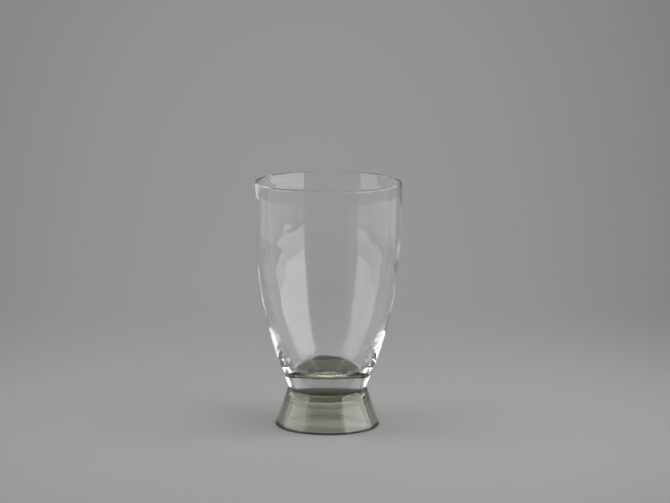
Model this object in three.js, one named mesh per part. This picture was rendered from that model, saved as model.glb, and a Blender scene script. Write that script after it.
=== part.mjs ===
import * as THREE from 'three';

// Footed tumbler in two pieces of glass. The clear cup is blown, with a thick solid base whose
// inside stands up as a dome in a ring-shaped groove. The smoke-grey foot is pressed as a hollow
// cone. Its top domes up into the base of the cup, and the two are fused over that whole face.
// Millimetres. The foot stands on z = 0, and the axis of the glass is +Z.

// Heights
const footHeight = 18.5; // table to the joint's level ring
const cupHeight = 106.5; // joint to the top of the rim
const uprightHeight = 10; // wall that stands straight up under the rim
const lipHeight = 10; // over which the wall thins to the lip
const grooveRise = 9.3; // joint to the bottom of the groove inside the cup
const turnHeight = 25; // from the groove up to where the inside has become a wall
const insideDomeHeight = 6.2; // from the groove to the top of the dome inside the cup
const jointDomeHeight = 5; // by which the foot's top stands up into the cup
const roofEdgeThickness = 3.7; // joint down to the edge of the hollow's roof
const roofDomeHeight = 3;

// Radii and wall thicknesses, measured level
const rimRadius = 37.2; // outside
const jointRadius = 19.1; // outside of the cup at the joint
const grooveRadius = 16;
const jointDomeRadius = 18.4;
const rimWall = 1.6;
const lipThinning = 0.5; // by which the wall is thinner at the very top
const lowWall = 3; // where the inside turns in to the groove
const footLedge = 1.2; // by which the foot's top stands out past the cup
const footSpread = 26.9; // outside of the foot on the table
const footRingWall = 4.5; // of the foot on the table
const footTopWall = 3.9; // of the foot beside the roof of its hollow

// Curves
const drawIn = 2.4; // power by which the cup draws in towards the joint
const wallGain = 2; // power by which its wall thickens downwards
const lipCurve = 1.5; // power by which it thins to the lip
const rimCrown = 0.8; // height of the fire-polished crown of the rim
const turnSteepness = 0.3; // how far the wall's direction is kept on into the turn
const turnFlatness = 0.2; // how far the level direction is kept from the groove
const insideDomePower = 0.78; // below 1 the dome's flank is steep
const jointDomePower = 0.8;
const roofDomePower = 1;
const cupEdgeRound = 0.5;
const footEdgeRound = 0.8;
const ringEdgeRound = 0.5;
const hollowRound = 3.2; // between the wall and the roof of the hollow

// Fineness of the faceted surfaces
const sides = 64;
const wallSteps = 12;
const lipSteps = 3;
const turnSteps = 7;
const domeSteps = 6;
const arcSteps = 3;

const jointLevel = footHeight;
const rimLevel = jointLevel + cupHeight;
const crownLevel = rimLevel - rimCrown;
const uprightLevel = rimLevel - uprightHeight;
const lipLevel = rimLevel - lipHeight;
const grooveLevel = jointLevel + grooveRise;
const turnLevel = grooveLevel + turnHeight;
const roofLevel = jointLevel - roofEdgeThickness;
const footTopRadius = jointRadius + footLedge;

// Outside radius of the cup: upright under the rim, then drawn in ever faster down to the joint.
function cupRadius(level) {
  const fall = Math.max(0, (uprightLevel - level) / (uprightLevel - jointLevel));
  return rimRadius - (rimRadius - jointRadius) * fall ** drawIn;
}

// Inside radius of the cup above its turn: the wall thickens on the way down, and a little more
// just under the lip.
function insideRadius(level) {
  const depth = (rimLevel - level) / (rimLevel - turnLevel);
  const lip = Math.max(0, (level - lipLevel) / lipHeight);
  const wall = rimWall + (lowWall - rimWall) * depth ** wallGain - lipThinning * lip ** lipCurve;
  return cupRadius(level) - wall;
}

// Outside radius of the foot, a straight cone.
function footRadius(level) {
  return THREE.MathUtils.lerp(footSpread, footTopRadius, level / footHeight);
}

// Points of a curved wall from one level to another, both ends included.
function wallPoints(radiusAt, fromLevel, toLevel, steps = wallSteps) {
  const points = [];
  for (let step = 0; step <= steps; step++) {
    const level = THREE.MathUtils.lerp(fromLevel, toLevel, step / steps);
    points.push(new THREE.Vector2(radiusAt(level), level));
  }
  return points;
}

// Points of an elliptical edge about its centre, between two angles in quarter turns.
function edgePoints(radius, level, width, height, fromQuarter, toQuarter) {
  const from = fromQuarter * Math.PI / 2;
  const to = toQuarter * Math.PI / 2;
  const edge = new THREE.EllipseCurve(radius, level, width, height, from, to, to < from);
  return edge.getPoints(arcSteps * Math.abs(toQuarter - fromQuarter));
}

// Points of a dome from its top on the axis down to its edge, closer together where it is steep.
function domePoints(radius, level, height, power) {
  const points = [];
  for (let step = 0; step <= domeSteps; step++) {
    const turn = step / domeSteps * Math.PI / 2;
    const rise = height * Math.max(0, Math.cos(turn)) ** (2 * power);
    points.push(new THREE.Vector2(radius * Math.sin(turn), level + rise));
  }
  return points;
}

// The inside from the end of its wall down to the groove, as one curve.
function turnPoints() {
  const end = new THREE.Vector2(insideRadius(turnLevel), turnLevel);
  const above = new THREE.Vector2(insideRadius(turnLevel + 1), turnLevel + 1);
  const downwards = end.clone().sub(above).normalize();
  const groove = new THREE.Vector2(grooveRadius, grooveLevel);
  const wallHandle = end.clone().addScaledVector(downwards, turnHeight * turnSteepness);
  const grooveHandle = new THREE.Vector2(
    THREE.MathUtils.lerp(grooveRadius, end.x, turnFlatness),
    grooveLevel,
  );
  const turn = new THREE.CubicBezierCurve(end, wallHandle, grooveHandle, groove);
  return turn.getPoints(turnSteps);
}

// The face on which cup and foot are fused, from the axis out to the edge of the cup.
function jointPoints() {
  const ringRadius = cupRadius(jointLevel + cupEdgeRound) - cupEdgeRound;
  return [
    ...domePoints(jointDomeRadius, jointLevel, jointDomeHeight, jointDomePower),
    new THREE.Vector2(ringRadius, jointLevel),
  ];
}

// Outline of the cup: its underside, up the outside, over the rim and down the inside.
function cupOutline() {
  const lowEdgeLevel = jointLevel + cupEdgeRound;
  const lowEdgeRadius = cupRadius(lowEdgeLevel) - cupEdgeRound;
  const crownRadius = (cupRadius(crownLevel) + insideRadius(crownLevel)) / 2;
  const crownWidth = (cupRadius(crownLevel) - insideRadius(crownLevel)) / 2;
  const insideDome = domePoints(grooveRadius, grooveLevel, insideDomeHeight, insideDomePower);
  return [
    ...jointPoints(),
    ...edgePoints(lowEdgeRadius, lowEdgeLevel, cupEdgeRound, cupEdgeRound, -1, 0).slice(1),
    ...wallPoints(cupRadius, lowEdgeLevel, crownLevel).slice(1),
    ...edgePoints(crownRadius, crownLevel, crownWidth, rimCrown, 0, 2).slice(1),
    ...wallPoints(insideRadius, crownLevel, lipLevel, lipSteps).slice(1),
    ...wallPoints(insideRadius, lipLevel, turnLevel).slice(1),
    ...turnPoints().slice(1),
    ...insideDome.reverse().slice(1),
  ];
}

// Outline of the foot: roof of the hollow, down its wall, over the resting ring, up the outside
// and back over its top.
function footOutline() {
  const hollowRadius = footRadius(roofLevel) - footTopWall;
  const mouthRadius = footSpread - footRingWall;
  const roundRadius = hollowRadius - hollowRound;
  const mouthEdgeRadius = mouthRadius + ringEdgeRound;
  const ringEdgeRadius = footRadius(ringEdgeRound) - ringEdgeRound;
  const topEdgeLevel = footHeight - footEdgeRound;
  const topEdgeRadius = footRadius(topEdgeLevel) - footEdgeRound;
  return [
    ...domePoints(roundRadius, roofLevel, roofDomeHeight, roofDomePower),
    ...edgePoints(roundRadius, roofLevel - hollowRound, hollowRound, hollowRound, 1, 0).slice(1),
    ...edgePoints(mouthEdgeRadius, ringEdgeRound, ringEdgeRound, ringEdgeRound, 2, 3),
    ...edgePoints(ringEdgeRadius, ringEdgeRound, ringEdgeRound, ringEdgeRound, -1, 0),
    ...edgePoints(topEdgeRadius, topEdgeLevel, footEdgeRound, footEdgeRound, 0, 1),
    ...jointPoints().reverse(),
  ];
}

// A named piece of glass, turned about +Z from its outline.
function turnedPiece(name, outline, material) {
  const geometry = new THREE.LatheGeometry(outline, sides);
  geometry.rotateX(Math.PI / 2);
  const piece = new THREE.Mesh(geometry, material);
  piece.name = name;
  return piece;
}

const clearGlass = new THREE.MeshStandardMaterial({
  color: 0xeef1f1,
  roughness: 0.03,
  metalness: 0,
  transparent: true,
  opacity: 0.25,
});
const smokeGlass = new THREE.MeshStandardMaterial({
  color: 0x5f605a,
  roughness: 0.03,
  metalness: 0,
  transparent: true,
  opacity: 0.7,
});

const tumbler = new THREE.Group();
tumbler.add(turnedPiece('cup', cupOutline(), clearGlass));
tumbler.add(turnedPiece('foot', footOutline(), smokeGlass));

export default tumbler;
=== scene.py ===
import math

import bmesh
import bpy
from mathutils import Matrix, Vector


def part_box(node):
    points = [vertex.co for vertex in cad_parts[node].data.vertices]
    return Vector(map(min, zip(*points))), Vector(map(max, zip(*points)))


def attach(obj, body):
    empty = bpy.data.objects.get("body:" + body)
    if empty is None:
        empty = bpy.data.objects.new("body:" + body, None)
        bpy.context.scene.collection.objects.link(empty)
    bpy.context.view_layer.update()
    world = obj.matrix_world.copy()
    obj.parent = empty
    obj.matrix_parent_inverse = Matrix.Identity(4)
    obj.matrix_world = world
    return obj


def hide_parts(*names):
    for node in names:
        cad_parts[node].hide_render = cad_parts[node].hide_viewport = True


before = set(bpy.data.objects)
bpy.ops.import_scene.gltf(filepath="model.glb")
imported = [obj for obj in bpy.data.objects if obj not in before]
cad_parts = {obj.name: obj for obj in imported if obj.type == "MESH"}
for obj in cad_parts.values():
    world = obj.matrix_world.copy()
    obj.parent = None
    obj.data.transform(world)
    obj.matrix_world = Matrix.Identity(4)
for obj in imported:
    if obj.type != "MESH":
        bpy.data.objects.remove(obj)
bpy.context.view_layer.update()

# Metres. The glass stands on z = 0 with its axis on +Z, as in the CAD model.


# The cup: clear glass, blown, and left thick and heavy below. Its inside bottom stands up as a
# round dome in a ring-shaped groove. Its underside is hollowed over the smoke glass of the foot,
# and the two are fused there into one body of glass.

cup_low, cup_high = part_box("cup")
joint_level = cup_low.z
rim_level = cup_high.z
rim_radius = cup_high.x
upright_height = 0.010  # wall that stands straight up under the rim
joint_radius = 0.0191  # outside of the cup at the joint
draw_in = 2.4  # power by which the cup draws in towards the joint
rim_wall = 0.0016
low_wall = 0.0030  # where the inside turns in to its bottom
wall_gain = 2  # power by which the wall thickens downwards
lip_height = 0.010  # over which the wall thins to the lip
lip_thinning = 0.0005  # by which it is thinner at the very top
lip_curve = 1.5
rim_crown = 0.0008  # height of the fire-polished crown of the rim
cup_edge_round = 0.0005
turn_height = 0.025  # from the groove up to where the inside has become a wall
turn_steepness = 0.3  # how far the wall's direction is kept on into the turn
turn_flatness = 0.2  # how far the level direction is kept from the groove
groove_rise = 0.0093  # joint to the bottom of the groove
groove_radius = 0.0160
inside_dome_height = 0.0062
inside_dome_power = 0.78
joint_dome_height = 0.0050  # of the smoke glass that stands up into the cup
joint_dome_radius = 0.0184
joint_dome_power = 0.8
slope_step = 0.001  # up the wall, to find which way it leads into the turn
steps_round = 256
outside_steps = 64
inside_steps = 110
turn_steps = 60
dome_steps = 40
joint_steps = 30
crown_steps = 16
edge_steps = 8
outside_wave = 0.00003  # height of the broad waves
inside_wave = 0.00010
streak_height = 0.000006
ring_height = 0.00004
ring_levels = (0.032, 0.064)  # between which the inside is ringed
quiet_length = 0.010  # over which waves grow from a joint or the axis
noise_gain = 4  # the noise strays about a quarter from its middle, and a wave by its height
weld_distance = 0.000001
cup_seed = 3
glass_index = 1.5
fused_limit = 0.99  # of the value that marks a fused face
clear_density = 3  # per metre
clear_left = (0, 0, 0.05)  # share of the density that red, green and blue are spared


def spread(first, last, count):
    """Evenly spaced values from first to last, both included."""
    return [first + (last - first) * step / count for step in range(count + 1)]


def rounded_edge(radius, level, width, height, from_degrees, to_degrees, count=edge_steps):
    """Points of an elliptical edge about its centre."""
    angles = [math.radians(a) for a in spread(from_degrees, to_degrees, count)]
    return [(radius + width * math.cos(a), level + height * math.sin(a)) for a in angles]


def domed(radius, level, height, power, count):
    """Points of a dome from its top down to its edge, closer together where it grows steep."""
    turns = spread(0, math.pi / 2, count)
    return [
        (radius * math.sin(t), level + height * math.cos(t) ** (2 * power)) for t in turns
    ]


def cup_radius(level):
    """Outside of the cup: upright under the rim, then drawn in ever faster down to the joint."""
    upright_level = rim_level - upright_height
    fall = max(0.0, (upright_level - level) / (upright_level - joint_level))
    return rim_radius - (rim_radius - joint_radius) * fall**draw_in


def inside_radius(level):
    """Inside of the cup above its bottom: the wall thickens on the way down from the lip."""
    depth = (rim_level - level) / (rim_level - joint_level - groove_rise - turn_height)
    lip = max(0.0, 1 - (rim_level - level) / lip_height)
    wall = rim_wall + (low_wall - rim_wall) * depth**wall_gain - lip_thinning * lip**lip_curve
    return cup_radius(level) - wall


def turn_in():
    """The inside from the end of its wall down to the groove, as a cubic curve."""
    groove_level = joint_level + groove_rise
    top_level = groove_level + turn_height
    end = Vector((inside_radius(top_level), top_level))
    above = Vector((inside_radius(top_level + slope_step), top_level + slope_step))
    groove = Vector((groove_radius, groove_level))
    wall_handle = end + (end - above).normalized() * turn_height * turn_steepness
    groove_handle = groove + Vector(((end.x - groove.x) * turn_flatness, 0))
    points = []
    for t in spread(0, 1, turn_steps):
        s = 1 - t
        point = end * s**3 + wall_handle * 3 * s * s * t + groove_handle * 3 * s * t * t + groove * t**3
        points.append(tuple(point))
    return points


def joint_face():
    """The face on which cup and foot are fused, from the axis out to the level ring."""
    return domed(joint_dome_radius, joint_level, joint_dome_height, joint_dome_power, joint_steps)


def cup_outline():
    """Outline of the cup: its underside, up the outside, over the rim and down the inside."""
    edge_level = joint_level + cup_edge_round
    edge_radius = cup_radius(edge_level) - cup_edge_round
    crown_level = rim_level - rim_crown
    crown_radius = (cup_radius(crown_level) + inside_radius(crown_level)) / 2
    crown_width = (cup_radius(crown_level) - inside_radius(crown_level)) / 2
    groove_level = joint_level + groove_rise
    wall_end = groove_level + turn_height
    inside_dome = domed(groove_radius, groove_level, inside_dome_height, inside_dome_power, dome_steps)
    fused = joint_face() + [(edge_radius, joint_level)]
    free = (
        rounded_edge(edge_radius, edge_level, cup_edge_round, cup_edge_round, -90, 0)[1:]
        + [(cup_radius(z), z) for z in spread(edge_level, crown_level, outside_steps)[1:]]
        + rounded_edge(crown_radius, crown_level, crown_width, rim_crown, 0, 180, crown_steps)[1:]
        + [(inside_radius(z), z) for z in spread(crown_level, wall_end, inside_steps)[1:]]
        + turn_in()[1:]
        + inside_dome[-2::-1]
    )
    return fused, free


def cup_waves(points):
    """Heights of the waves at the free points: the outside is smooth from the mould, the inside
    blown and wavy, with fine streaks up its wall and rings where the glass chilled low down."""
    top = max(range(len(points)), key=lambda i: points[i][1])
    low, high = ring_levels
    broad, streaks, rings = [], [], []
    for i, (radius, level) in enumerate(points):
        inside = 1.0 if i > top else 0.0
        share = min(max((level - low) / (high - low), 0.0), 1.0)
        broad.append(outside_wave + (inside_wave * share - outside_wave) * inside)
        streaks.append(streak_height * inside * share)
        rings.append(ring_height * inside * math.sin(math.pi * share))
    return {"broad": broad, "streaks": streaks, "rings": rings}


def turning_tree():
    """Node tree that turns an outline round the axis and leaves the glass slightly wavy. The
    outline's own values say how high each kind of wave stands at each of its points."""
    tree = bpy.data.node_groups.new("turned glass", "GeometryNodeTree")
    tree.is_modifier = True
    sockets = tree.interface
    sockets.new_socket("Geometry", in_out="INPUT", socket_type="NodeSocketGeometry")
    for name in ("Steps Round", "Broad Round", "Streaks Round", "Rings Round", "Seed"):
        sockets.new_socket(name, in_out="INPUT", socket_type="NodeSocketInt")
    for name in ("Broad Length", "Streak Length", "Ring Length"):
        sockets.new_socket(name, in_out="INPUT", socket_type="NodeSocketFloat")
    sockets.new_socket("Glass", in_out="INPUT", socket_type="NodeSocketMaterial")
    sockets.new_socket("Geometry", in_out="OUTPUT", socket_type="NodeSocketGeometry")
    link = tree.links.new

    def node(kind, **settings):
        made = tree.nodes.new(kind)
        for key, value in settings.items():
            setattr(made, key, value)
        return made

    def math_node(operation, first, second=None):
        made = node("ShaderNodeMath", operation=operation)
        for socket, value in zip(made.inputs, (first, second)):
            if isinstance(value, (int, float)):
                socket.default_value = value
            elif value is not None:
                link(value, socket)
        return made.outputs[0]

    def sampled(kind, value):
        made = node("GeometryNodeSampleIndex", data_type=kind, domain="POINT")
        link(given["Geometry"], made.inputs["Geometry"])
        link(value, made.inputs["Value"])
        link(row, made.inputs["Index"])
        return made.outputs["Value"]

    def outline_value(name):
        made = node("GeometryNodeInputNamedAttribute", data_type="FLOAT")
        made.inputs["Name"].default_value = name
        return sampled("FLOAT", made.outputs["Attribute"])

    given = node("NodeGroupInput").outputs
    size = node("GeometryNodeAttributeDomainSize", component="MESH")
    link(given["Geometry"], size.inputs[0])
    points = size.outputs["Point Count"]
    grid = node("GeometryNodeMeshGrid")
    link(math_node("ADD", given["Steps Round"], 1), grid.inputs["Vertices X"])
    link(points, grid.inputs["Vertices Y"])

    index = node("GeometryNodeInputIndex").outputs[0]
    step = math_node("FLOOR", math_node("DIVIDE", math_node("ADD", index, 0.5), points))
    row = math_node("SUBTRACT", index, math_node("MULTIPLY", step, points))
    angle = math_node("MULTIPLY", math_node("DIVIDE", step, given["Steps Round"]), math.tau)
    cosine = math_node("COSINE", angle)
    sine = math_node("SINE", angle)
    place = node("ShaderNodeSeparateXYZ")
    link(sampled("FLOAT_VECTOR", node("GeometryNodeInputPosition").outputs[0]), place.inputs[0])
    radius = place.outputs["X"]

    def waves(name, round_name, length_name, middle):
        spot = node("ShaderNodeCombineXYZ")
        turns = math_node("DIVIDE", given[round_name], math.tau)
        link(math_node("MULTIPLY", turns, cosine), spot.inputs["X"])
        link(math_node("MULTIPLY", turns, sine), spot.inputs["Y"])
        link(math_node("DIVIDE", outline_value("along"), given[length_name]), spot.inputs["Z"])
        noise = node("ShaderNodeTexNoise", noise_dimensions="4D")
        noise.inputs["Scale"].default_value = 1
        noise.inputs["Detail"].default_value = 1
        link(spot.outputs[0], noise.inputs["Vector"])
        link(given["Seed"], noise.inputs["W"])
        swing = math_node("MULTIPLY", math_node("SUBTRACT", noise.outputs[0], middle), noise_gain)
        return math_node("MULTIPLY", swing, outline_value(name))

    # With their middle at 1 the broad waves only lead inwards, and the glass keeps its size.
    wavy = math_node("ADD", radius, waves("broad", "Broad Round", "Broad Length", 1))
    wavy = math_node("ADD", wavy, waves("streaks", "Streaks Round", "Streak Length", 0.5))
    wavy = math_node("ADD", wavy, waves("rings", "Rings Round", "Ring Length", 0.5))

    position = node("ShaderNodeCombineXYZ")
    link(math_node("MULTIPLY", wavy, cosine), position.inputs["X"])
    link(math_node("MULTIPLY", wavy, sine), position.inputs["Y"])
    link(place.outputs["Z"], position.inputs["Z"])
    turned = node("GeometryNodeSetPosition")
    link(grid.outputs["Mesh"], turned.inputs["Geometry"])
    link(position.outputs[0], turned.inputs["Position"])
    marked = node("GeometryNodeStoreNamedAttribute", data_type="FLOAT", domain="POINT")
    marked.inputs["Name"].default_value = "fused"
    link(turned.outputs[0], marked.inputs["Geometry"])
    link(outline_value("fused"), marked.inputs["Value"])
    closed = node("GeometryNodeMergeByDistance")
    closed.inputs["Distance"].default_value = weld_distance
    link(marked.outputs[0], closed.inputs["Geometry"])
    smooth = node("GeometryNodeSetShadeSmooth")
    link(closed.outputs[0], smooth.inputs["Geometry"])
    real = node("GeometryNodeRealizeInstances")
    link(smooth.outputs[0], real.inputs["Geometry"])
    coloured = node("GeometryNodeSetMaterial")
    link(real.outputs[0], coloured.inputs["Geometry"])
    link(given["Glass"], coloured.inputs["Material"])
    link(coloured.outputs[0], node("NodeGroupOutput").inputs[0])
    return tree


def turned_piece(name, fused, free, heights, seed, glass):
    """Turns an outline into a closed piece of glass. Its fused points stay true, and the waves of
    the free ones grow with the distance from the joint and from the axis."""
    points = fused + free
    edges = [(i, i + 1) for i in range(len(points) - 1)]
    outline = bpy.data.meshes.new(name)
    outline.from_pydata([(r, 0, z) for r, z in points], edges, [])
    along = [0.0]
    for (r0, z0), (r1, z1) in zip(points, points[1:]):
        along.append(along[-1] + math.hypot(r1 - r0, z1 - z0))
    start = along[len(fused) - 1]
    freedom = [
        min(1.0, max(0.0, (a - start) / quiet_length), (along[-1] - a) / quiet_length, r / quiet_length)
        for a, (r, z) in zip(along, points)
    ]
    values = {"along": along, "fused": [1.0] * len(fused) + [0.0] * len(free)}
    for kind, column in heights.items():
        values[kind] = [f * h for f, h in zip(freedom, [0.0] * len(fused) + column)]
    for key, column in values.items():
        outline.attributes.new(key, "FLOAT", "POINT").data.foreach_set("value", column)

    maker = bpy.data.objects.new(name + "_outline", outline)
    bpy.context.scene.collection.objects.link(maker)
    turning = maker.modifiers.new("turning", "NODES")
    turning.node_group = glass_turning
    sizes = {
        "Steps Round": steps_round,
        "Broad Round": 11,
        "Broad Length": 0.020,
        "Streaks Round": 60,
        "Streak Length": 0.060,
        "Rings Round": 14,
        "Ring Length": 0.0030,
        "Seed": seed,
        "Glass": glass,
    }
    for item in glass_turning.interface.items_tree:
        if item.in_out == "INPUT" and item.name in sizes:
            turning[item.identifier] = sizes[item.name]
    shaped = maker.evaluated_get(bpy.context.evaluated_depsgraph_get())
    mesh = bpy.data.meshes.new_from_object(shaped)
    bpy.data.objects.remove(maker)

    closed = bmesh.new()
    closed.from_mesh(mesh)
    bmesh.ops.recalc_face_normals(closed, faces=closed.faces)
    if closed.calc_volume(signed=True) < 0:
        bmesh.ops.reverse_faces(closed, faces=closed.faces)
    closed.to_mesh(mesh)
    closed.free()
    mesh.name = name
    piece = bpy.data.objects.new(name, mesh)
    bpy.context.scene.collection.objects.link(piece)
    return piece


def glass_material(name, density, left):
    """Glass that bends light at its free faces and lets it straight on where it is fused. Its body
    takes light: the density per metre, less the share left to each colour."""
    material = bpy.data.materials.new(name)
    material.use_nodes = True
    nodes, links = material.node_tree.nodes, material.node_tree.links
    surface = nodes["Principled BSDF"]
    surface.inputs["Base Color"].default_value = (1, 1, 1, 1)
    surface.inputs["Transmission Weight"].default_value = 1
    surface.inputs["Roughness"].default_value = 0
    fused = nodes.new("ShaderNodeAttribute")
    fused.attribute_name = "fused"
    whole = nodes.new("ShaderNodeMath")
    whole.operation = "GREATER_THAN"
    whole.inputs[1].default_value = fused_limit
    links.new(fused.outputs["Fac"], whole.inputs[0])
    index = nodes.new("ShaderNodeMapRange")
    index.inputs["To Min"].default_value = glass_index
    index.inputs["To Max"].default_value = 1
    links.new(whole.outputs[0], index.inputs["Value"])
    links.new(index.outputs[0], surface.inputs["IOR"])
    body = nodes.new("ShaderNodeVolumeAbsorption")
    body.inputs["Color"].default_value = (*left, 1)
    body.inputs["Density"].default_value = density
    links.new(body.outputs[0], nodes["Material Output"].inputs["Volume"])
    return material


glass_turning = turning_tree()
clear_glass = glass_material("clear glass", clear_density, clear_left)
cup_fused, cup_free = cup_outline()
cup = turned_piece("cup_glass", cup_fused, cup_free, cup_waves(cup_free), cup_seed, clear_glass)
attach(cup, "root")
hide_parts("cup")


# The foot: smoke-grey glass, pressed as a hollow cone that stands on a flat ring. Its top domes up
# into the clear glass of the cup, and the roof of its hollow is domed too.

foot_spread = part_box("foot")[1].x  # outside of the foot on the table
foot_ledge = 0.0012  # by which the foot's top stands out past the cup
foot_edge_round = 0.0008
ring_edge_round = 0.0005
foot_ring_wall = 0.0045  # of the foot on the table
foot_top_wall = 0.0039  # of the foot beside the roof of its hollow
roof_edge_thickness = 0.0037  # joint down to the edge of the hollow's roof
roof_dome_height = 0.0030
hollow_round = 0.0032  # between the wall and the roof of the hollow
contact_gap = 0.00001  # under the cup, so that no two faces lie in one place
cone_steps = 30
hollow_steps = 24
hollow_round_steps = 12
foot_seed = 8
smoke_density = 100
smoke_left = (0.38, 0.38, 0.22)


def foot_radius(level):
    """Outside of the foot, a straight cone."""
    top_radius = joint_radius + foot_ledge
    return foot_spread + (top_radius - foot_spread) * level / joint_level


def foot_outline():
    """Outline of the foot: its top, down the outside, over the ring and up into the hollow."""
    roof_level = joint_level - roof_edge_thickness
    round_level = roof_level - hollow_round
    hollow_radius = foot_radius(roof_level) - foot_top_wall
    mouth_radius = foot_spread - foot_ring_wall
    round_radius = hollow_radius - hollow_round
    mouth_edge_radius = mouth_radius + ring_edge_round
    ring_radius = foot_radius(ring_edge_round) - ring_edge_round
    top_edge_level = joint_level - foot_edge_round
    top_edge_radius = foot_radius(top_edge_level) - foot_edge_round
    cup_edge_radius = cup_radius(joint_level + cup_edge_round) - cup_edge_round
    wall_radii = spread(mouth_radius, hollow_radius, hollow_steps)
    wall_levels = spread(ring_edge_round, round_level, hollow_steps)
    hollow_edge = rounded_edge(
        round_radius, round_level, hollow_round, hollow_round, 0, 90, hollow_round_steps
    )
    fused = [(r, z - contact_gap) for r, z in joint_face() + [(cup_edge_radius, joint_level)]]
    free = (
        [(top_edge_radius, joint_level)]
        + rounded_edge(top_edge_radius, top_edge_level, foot_edge_round, foot_edge_round, 90, 0)[1:]
        + [(foot_radius(z), z) for z in spread(top_edge_level, ring_edge_round, cone_steps)[1:]]
        + rounded_edge(ring_radius, ring_edge_round, ring_edge_round, ring_edge_round, 0, -90)[1:]
        + rounded_edge(mouth_edge_radius, ring_edge_round, ring_edge_round, ring_edge_round, -90, -180)
        + list(zip(wall_radii, wall_levels))[1:]
        + hollow_edge[1:]
        + domed(round_radius, roof_level, roof_dome_height, 1, hollow_steps)[-2::-1]
    )
    return fused, free


smoke_glass = glass_material("smoke glass", smoke_density, smoke_left)
foot_fused, foot_free = foot_outline()
foot_waves = {"broad": [outside_wave] * len(foot_free)}
foot = turned_piece("foot_glass", foot_fused, foot_free, foot_waves, foot_seed, smoke_glass)
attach(foot, "root")
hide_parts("foot")


# The studio: a pale grey table that runs back without an edge, a tall soft light and a low card
# on each side of the glass, and a long level light over it.

floor_half_width = 6.0
floor_paint = 0.37
floor_tint = (1, 1, 1.01)
backdrop_grey = 0.319
backdrop_tint = (1, 1, 1.03)
camera_stand = -1.23
near_limit = 0.9  # from the camera, nearer than which the even grey changes no more
middle_shift = 0.012  # sideways slope from the camera to the picture's middle
painted_corner_shade = 9.9  # painted shade of the even grey, with the square of how far off the picture's middle it is
most_painted_corner_shade = 0.25
painted_distance_shade = 0.022  # painted shade of the even grey for each metre from the camera
shadow_reach = (0.10, 0.40)  # the table's own shading gives way to the even grey between these
room_light = 0.29
room_light_in_front = 0.12  # from the camera's side, where the studio is darker
room_turn = (-0.85, -0.6)  # Y of the directions between which the one gives way to the other
screen_steps = 24
left_light = {"from": 54, "to": 119, "off": 0.9, "low": 0.04, "high": 0.70, "strength": 2.0}
right_light = {"from": 42, "to": 115, "off": 0.9, "low": 0.04, "high": 0.70, "strength": 3.0}
left_card = {"from": 54, "to": 128, "off": 0.45, "low": 0, "high": 0.055, "strength": 0.65}
right_card = {"from": 44, "to": 128, "off": 0.45, "low": 0, "high": 0.055, "strength": 0.70}
top_light_place = (0, -0.05, 0.9)
top_light_size = (1.5, 0.24)
top_light_strength = 3.8


def table_material():
    """Matt grey paper. Past the object's shadow it is an even grey for what the camera sees, with
    painted shade that darkens it towards the picture's corners and further from the camera.
    """
    material = bpy.data.materials.new("pale table")
    material.use_nodes = True
    nodes, links = material.node_tree.nodes, material.node_tree.links
    paper = nodes["Principled BSDF"]
    paper.inputs["Base Color"].default_value = (*(floor_paint * share for share in floor_tint), 1)
    paper.inputs["Roughness"].default_value = 1
    paper.inputs["Specular IOR Level"].default_value = 0
    even = nodes.new("ShaderNodeEmission")
    even.inputs["Color"].default_value = (*backdrop_tint, 1)
    place = nodes.new("ShaderNodeTexCoord")

    def reckoned(operation, *values):
        made = nodes.new("ShaderNodeMath")
        made.operation = operation
        for socket, value in zip(made.inputs, values):
            if isinstance(value, (int, float)):
                socket.default_value = value
            else:
                links.new(value, socket)
        return made.outputs[0]

    parts = nodes.new("ShaderNodeSeparateXYZ")
    links.new(place.outputs["Object"], parts.inputs[0])
    off = reckoned("MAXIMUM", reckoned("SUBTRACT", parts.outputs["Y"], camera_stand), near_limit)
    aside = reckoned("ADD", reckoned("DIVIDE", parts.outputs["X"], off), middle_shift)
    path = nodes.new("ShaderNodeLightPath")
    seen = path.outputs["Is Camera Ray"]
    # Painted shade: the even grey darkens towards the picture's corners and with each metre from the
    # camera.
    fall = reckoned("MULTIPLY", reckoned("POWER", aside, 2), painted_corner_shade)
    fall = reckoned("MULTIPLY", reckoned("MINIMUM", fall, most_painted_corner_shade), seen)
    kept = reckoned("SUBTRACT", reckoned("SUBTRACT", 1, fall), reckoned("MULTIPLY", off, painted_distance_shade))
    links.new(reckoned("MULTIPLY", kept, backdrop_grey), even.inputs["Strength"])
    distance = nodes.new("ShaderNodeVectorMath")
    distance.operation = "LENGTH"
    links.new(place.outputs["Object"], distance.inputs[0])
    fade = nodes.new("ShaderNodeMapRange")
    fade.interpolation_type = "SMOOTHSTEP"
    fade.inputs["From Min"].default_value = shadow_reach[0]
    fade.inputs["From Max"].default_value = shadow_reach[1]
    links.new(distance.outputs["Value"], fade.inputs["Value"])
    for other in ("Is Glossy Ray", "Is Transmission Ray"):
        seen = reckoned("MAXIMUM", seen, path.outputs[other])
    blend = nodes.new("ShaderNodeMixShader")
    links.new(reckoned("MULTIPLY", fade.outputs[0], seen), blend.inputs[0])
    links.new(paper.outputs[0], blend.inputs[1])
    links.new(even.outputs[0], blend.inputs[2])
    links.new(blend.outputs[0], nodes["Material Output"].inputs["Surface"])
    return material


def glowing_screen(name, corners, faces, strength):
    """A screen that glows evenly and that the camera itself doesn't see."""
    mesh = bpy.data.meshes.new(name)
    mesh.from_pydata(corners, [], faces)
    glow = bpy.data.materials.new(name)
    glow.use_nodes = True
    nodes = glow.node_tree.nodes
    nodes.remove(nodes["Principled BSDF"])
    lit = nodes.new("ShaderNodeEmission")
    lit.inputs["Strength"].default_value = strength
    glow.node_tree.links.new(lit.outputs[0], nodes["Material Output"].inputs["Surface"])
    mesh.materials.append(glow)
    screen = bpy.data.objects.new(name, mesh)
    screen.visible_camera = False
    bpy.context.scene.collection.objects.link(screen)


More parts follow.
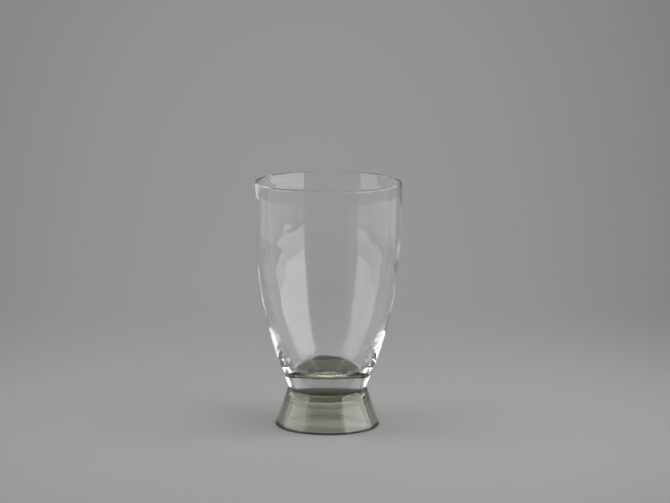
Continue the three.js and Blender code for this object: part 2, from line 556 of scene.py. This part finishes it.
def soft_light(name, side, light):
    """An upright curved screen. Its angles are off the camera's side, in degrees."""
    corners, faces = [], []
    turns = spread(light["from"], light["to"], screen_steps)
    for turn in turns:
        a = math.radians(turn)
        x, y = side * light["off"] * math.sin(a), -light["off"] * math.cos(a)
        corners += [(x, y, light["low"]), (x, y, light["high"])]
    for i in range(len(turns) - 1):
        faces.append((2 * i, 2 * i + 2, 2 * i + 3, 2 * i + 1))
    glowing_screen(name, corners, faces, light["strength"])


def top_light():
    """A long level screen over the glass."""
    x, y, z = top_light_place
    w, d = top_light_size[0] / 2, top_light_size[1] / 2
    corners = [(x - w, y - d, z), (x + w, y - d, z), (x + w, y + d, z), (x - w, y + d, z)]
    glowing_screen("soft light above", corners, [(0, 1, 2, 3)], top_light_strength)


w = floor_half_width
table_mesh = bpy.data.meshes.new("table")
table_mesh.from_pydata([(-w, -w, 0), (w, -w, 0), (w, w, 0), (-w, w, 0)], [], [(0, 1, 2, 3)])
table_mesh.materials.append(table_material())
table = bpy.data.objects.new("table", table_mesh)
bpy.context.scene.collection.objects.link(table)
soft_light("soft light left", -1, left_light)
soft_light("soft light right", 1, right_light)
soft_light("soft light left low", -1, left_card)
soft_light("soft light right low", 1, right_card)
top_light()

scene = bpy.context.scene
scene.world = bpy.data.worlds.new("room")
scene.world.use_nodes = True
room_nodes, room_links = scene.world.node_tree.nodes, scene.world.node_tree.links
room = room_nodes["Background"]
room.inputs["Color"].default_value = (*floor_tint, 1)
towards = room_nodes.new("ShaderNodeTexCoord")
towards_parts = room_nodes.new("ShaderNodeSeparateXYZ")
room_links.new(towards.outputs["Generated"], towards_parts.inputs[0])
dimming = room_nodes.new("ShaderNodeMapRange")
dimming.interpolation_type = "SMOOTHSTEP"
dimming.inputs["From Min"].default_value = room_turn[0]
dimming.inputs["From Max"].default_value = room_turn[1]
dimming.inputs["To Min"].default_value = room_light_in_front
dimming.inputs["To Max"].default_value = room_light
room_links.new(towards_parts.outputs["Y"], dimming.inputs["Value"])
room_links.new(dimming.outputs[0], room.inputs["Strength"])


# The camera stands a little above the rim and looks down at the glass, as in the photograph. Its
# place and lens were fitted to the ellipses of the rim, the joint and the foot.

camera_place = Vector((0.00353, -1.23124, 0.29864))
camera_pitch = math.radians(9.65687)
camera_roll = math.radians(0.2749)
camera_lens = 132.73
camera_sensor = 36
light_bounces = 256  # light runs on inside the wall, and ends in black where it is cut off

look = Vector((0, math.cos(camera_pitch), -math.sin(camera_pitch)))
level_up = Vector((0, math.sin(camera_pitch), math.cos(camera_pitch)))
right = Vector((math.cos(camera_roll), 0, 0)) + level_up * math.sin(camera_roll)
up = Vector((-math.sin(camera_roll), 0, 0)) + level_up * math.cos(camera_roll)
turned_to = Matrix((right, up, -look)).transposed().to_4x4()
camera = bpy.data.objects.new("camera", bpy.data.cameras.new("camera"))
camera.data.sensor_width = camera_sensor
camera.data.lens = camera_lens
camera.matrix_world = Matrix.Translation(camera_place) @ turned_to
scene.collection.objects.link(camera)
scene.camera = camera

scene.view_settings.view_transform = "Standard"
scene.cycles.max_bounces = light_bounces
scene.cycles.transmission_bounces = light_bounces
scene.cycles.glossy_bounces = light_bounces
scene.cycles.blur_glossy = 0
